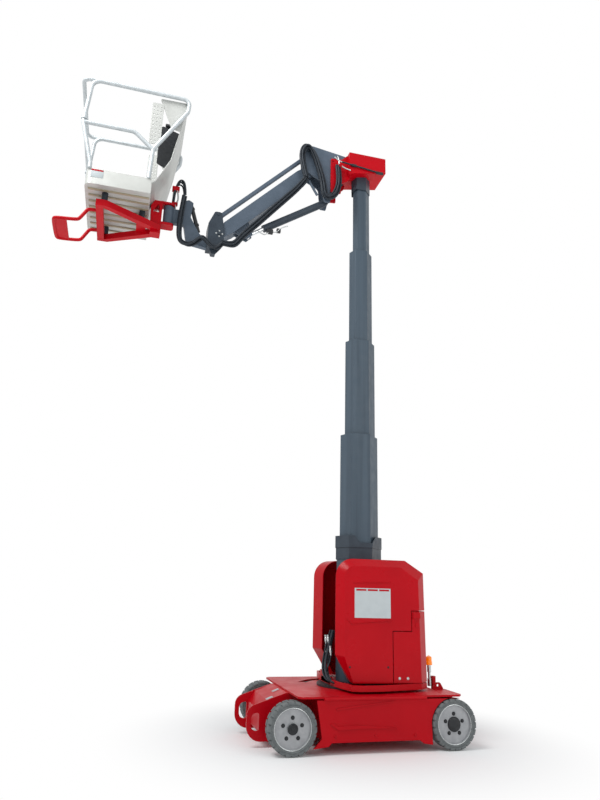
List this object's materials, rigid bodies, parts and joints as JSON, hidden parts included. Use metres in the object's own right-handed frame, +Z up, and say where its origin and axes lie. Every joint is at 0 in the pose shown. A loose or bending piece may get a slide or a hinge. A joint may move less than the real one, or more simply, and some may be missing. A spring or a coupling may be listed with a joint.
{
  "type": "vertical mast lift",
  "caption": "Self-propelled vertical mast lift: steered wheeled chassis, slewing turret, telescopic mast, jib with levelling link and a turning basket.",
  "frame": {"origin": "on the ground under the turret slewing axis, midway between the axles", "axes": "+X forwards, +Y to the left, +Z up along the mast"},
  "size_m": [3.8324, 1.2, 5.7942],
  "materials": {
    "red_paint": "satin paint",
    "red_gloss": "gloss moulding",
    "grey_paint": "satin paint",
    "aluminium": "satin",
    "black_steel": "black paint",
    "rim_paint": "silver paint",
    "tyre": "non-marking rubber",
    "rubber": "black rubber",
    "black_plastic": "moulded",
    "chrome": "polished",
    "amber": "clear amber lens"
  },
  "bodies": {
    "chassis": {"chassis_frame": "red_paint", "deck": "red_paint", "side_skirt_left": "red_paint", "side_skirt_right": "red_paint", "nose_plate_left": "red_paint", "nose_plate_right": "red_paint", "front_axle": "black_steel", "rear_final_drives": "black_steel", "slewing_ring": "black_steel", "beacon_post": "aluminium", "beacon_lens": "amber"},
    "steering_left": {"steering_knuckle_left": "black_steel"},
    "wheel_front_left": {"tyre_front_left": "tyre", "rim_front_left": "rim_paint"},
    "wheel_rear_left": {"tyre_rear_left": "tyre", "rim_rear_left": "rim_paint"},
    "cover_door_left": {"cover_left": "red_gloss"},
    "steering_right": {"steering_knuckle_right": "black_steel"},
    "wheel_front_right": {"tyre_front_right": "tyre", "rim_front_right": "rim_paint"},
    "wheel_rear_right": {"tyre_rear_right": "tyre", "rim_rear_right": "rim_paint"},
    "cover_door_right": {"cover_right": "red_gloss"},
    "turret": {"turret_base": "red_paint", "counterweight": "red_paint", "battery_left": "black_plastic", "battery_right": "black_plastic", "side_panel_left": "red_gloss", "side_panel_right": "red_gloss", "outer_mast": "grey_paint", "mast_collar": "grey_paint"},
    "mast_1": {"mast_section_1": "grey_paint"},
    "mast_2": {"mast_section_2": "grey_paint"},
    "mast_3": {"mast_section_3": "grey_paint"},
    "mast_4": {"mast_section_4": "grey_paint", "head_sleeve": "grey_paint", "mast_head": "red_paint", "jib_bracket": "grey_paint"},
    "jib": {"jib_beam": "grey_paint"},
    "link": {"levelling_tube": "grey_paint"},
    "cylinder": {"lift_cylinder": "grey_paint"},
    "rod": {"lift_rod": "chrome"},
    "knuckle": {"knuckle": "grey_paint", "riser": "grey_paint"},
    "basket": {"basket_carrier": "red_paint", "basket_mounts": "rubber", "basket_floor": "aluminium", "guard_rails": "aluminium", "back_shell": "aluminium", "control_box": "black_plastic", "entry_step": "red_paint"},
    "drop_bar": {"drop_bar": "aluminium"}
  },
  "joints": [
    {"name": "steer_left", "type": "hinge", "parent": "chassis", "child": "steering_left", "pos_m": [0.675, 0.462, 0.1905], "axis": [0, 0, 1], "range_deg": [-40, 40]},
    {"name": "roll_front_left", "type": "hinge", "parent": "steering_left", "child": "wheel_front_left", "pos_m": [0.675, 0.5365, 0.1905], "axis": [0, 1, 0], "continuous": true},
    {"name": "roll_rear_left", "type": "hinge", "parent": "chassis", "child": "wheel_rear_left", "pos_m": [-0.675, 0.5365, 0.1905], "axis": [0, 1, 0], "continuous": true},
    {"name": "steer_right", "type": "hinge", "parent": "chassis", "child": "steering_right", "pos_m": [0.675, -0.462, 0.1905], "axis": [0, 0, 1], "range_deg": [-40, 40]},
    {"name": "roll_front_right", "type": "hinge", "parent": "steering_right", "child": "wheel_front_right", "pos_m": [0.675, -0.5365, 0.1905], "axis": [0, 1, 0], "continuous": true},
    {"name": "roll_rear_right", "type": "hinge", "parent": "chassis", "child": "wheel_rear_right", "pos_m": [-0.675, -0.5365, 0.1905], "axis": [0, 1, 0], "continuous": true},
    {"name": "turret_slew", "type": "hinge", "parent": "chassis", "child": "turret", "pos_m": [0, 0, 0.41], "axis": [0, 0, 1], "range_deg": [-172.5, 172.5]},
    {"name": "cover_hinge_left", "type": "hinge", "parent": "turret", "child": "cover_door_left", "pos_m": [-0.548, 0.178, 1], "axis": [0, 0, 1], "range_deg": [0, 95]},
    {"name": "cover_hinge_right", "type": "hinge", "parent": "turret", "child": "cover_door_right", "pos_m": [-0.548, -0.178, 1], "axis": [0, 0, -1], "range_deg": [0, 95]},
    {"name": "mast_slide_1", "type": "slide", "parent": "turret", "child": "mast_1", "axis": [0, 0, 1], "range_m": [-0.953, 0]},
    {"name": "mast_slide_2", "type": "slide", "parent": "mast_1", "child": "mast_2", "axis": [0, 0, 1], "range_m": [-0.96701, 0]},
    {"name": "mast_slide_3", "type": "slide", "parent": "mast_2", "child": "mast_3", "axis": [0, 0, 1], "range_m": [-1.01101, 0]},
    {"name": "mast_slide_4", "type": "slide", "parent": "mast_3", "child": "mast_4", "axis": [0, 0, 1], "range_m": [-0.73701, 0]},
    {"name": "jib_lift", "type": "hinge", "parent": "mast_4", "child": "jib", "pos_m": [0.5, 0, 5.515], "axis": [0, -1, 0], "range_deg": [-9, 91]},
    {"name": "link_swing", "type": "hinge", "parent": "mast_4", "child": "link", "pos_m": [0.5183, 0, 5.7242], "axis": [0, -1, 0], "range_deg": [-9.01, 91.01]},
    {"name": "knuckle_level", "type": "hinge", "parent": "jib", "child": "knuckle", "pos_m": [1.43084, 0, 4.55108], "axis": [0, -1, 0], "range_deg": [-91.01, 9.01]},
    {"name": "cylinder_swing", "type": "hinge", "parent": "mast_4", "child": "cylinder", "pos_m": [0.316, 0, 5.178], "axis": [0, -1, 0], "range_deg": [-7.66, 76.94]},
    {"name": "rod_slide", "type": "slide", "parent": "cylinder", "child": "rod", "axis": [0.8293, 0, -0.5589], "range_m": [-0.04582, 0.46238]},
    {"name": "basket_turn", "type": "hinge", "parent": "knuckle", "child": "basket", "pos_m": [1.93, 0, 4.64], "axis": [0, 0, 1], "range_deg": [-60, 60]},
    {"name": "drop_bar_lift", "type": "slide", "parent": "basket", "child": "drop_bar", "axis": [-0.0731, 0, 0.9973], "range_m": [0, 0.3]}
  ],
  "couplings": [
    {"joint": "steer_right", "follows": "steer_left", "ratio": 1},
    {"joint": "mast_slide_2", "follows": "mast_slide_1", "ratio": 1.0147},
    {"joint": "mast_slide_3", "follows": "mast_slide_1", "ratio": 1.0609},
    {"joint": "mast_slide_4", "follows": "mast_slide_1", "ratio": 0.77335},
    {"joint": "link_swing", "follows": "jib_lift", "ratio": 1},
    {"joint": "knuckle_level", "follows": "jib_lift", "ratio": -1},
    {"joint": "cylinder_swing", "follows": "jib_lift", "ratio": 0.845},
    {"joint": "rod_slide", "follows": "jib_lift", "m_per_rad": 0.29106}
  ]
}
